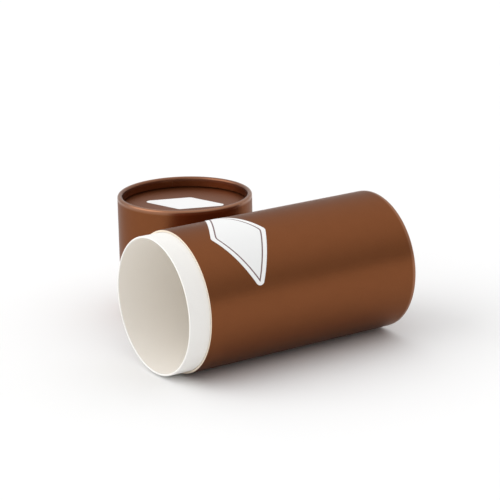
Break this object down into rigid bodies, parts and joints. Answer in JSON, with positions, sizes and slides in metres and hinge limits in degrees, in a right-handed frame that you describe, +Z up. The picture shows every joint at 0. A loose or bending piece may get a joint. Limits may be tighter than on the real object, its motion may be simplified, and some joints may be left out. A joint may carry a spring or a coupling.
{
  "type": "paper tube box",
  "caption": "Round board tube box lying on its side with a white neck liner at its open mouth, and its slip-on lid standing beside it; both curl over a sunk end disc.",
  "frame": {"origin": "on the ground, under the middle of the body and lid taken together", "axes": "+X along the body from its mouth to its base, +Y from the body to the lid, +Z up"},
  "size_m": [0.1876, 0.2092, 0.1002],
  "materials": {
    "brown_board": "satin pearl wrap",
    "white_board": "matt",
    "label_paper": "smooth matt"
  },
  "bodies": {
    "box": {"outer_tube": "brown_board", "inner_liner": "white_board", "base_disc": "brown_board", "body_label": "label_paper"},
    "lid": {"lid_tube": "brown_board", "lid_disc": "brown_board", "lid_label": "label_paper"}
  },
  "joints": [
    {"name": "lid_lift", "type": "slide", "parent": "box", "child": "lid", "axis": [0, 0, 1], "range_m": [0, 0.12]}
  ]
}
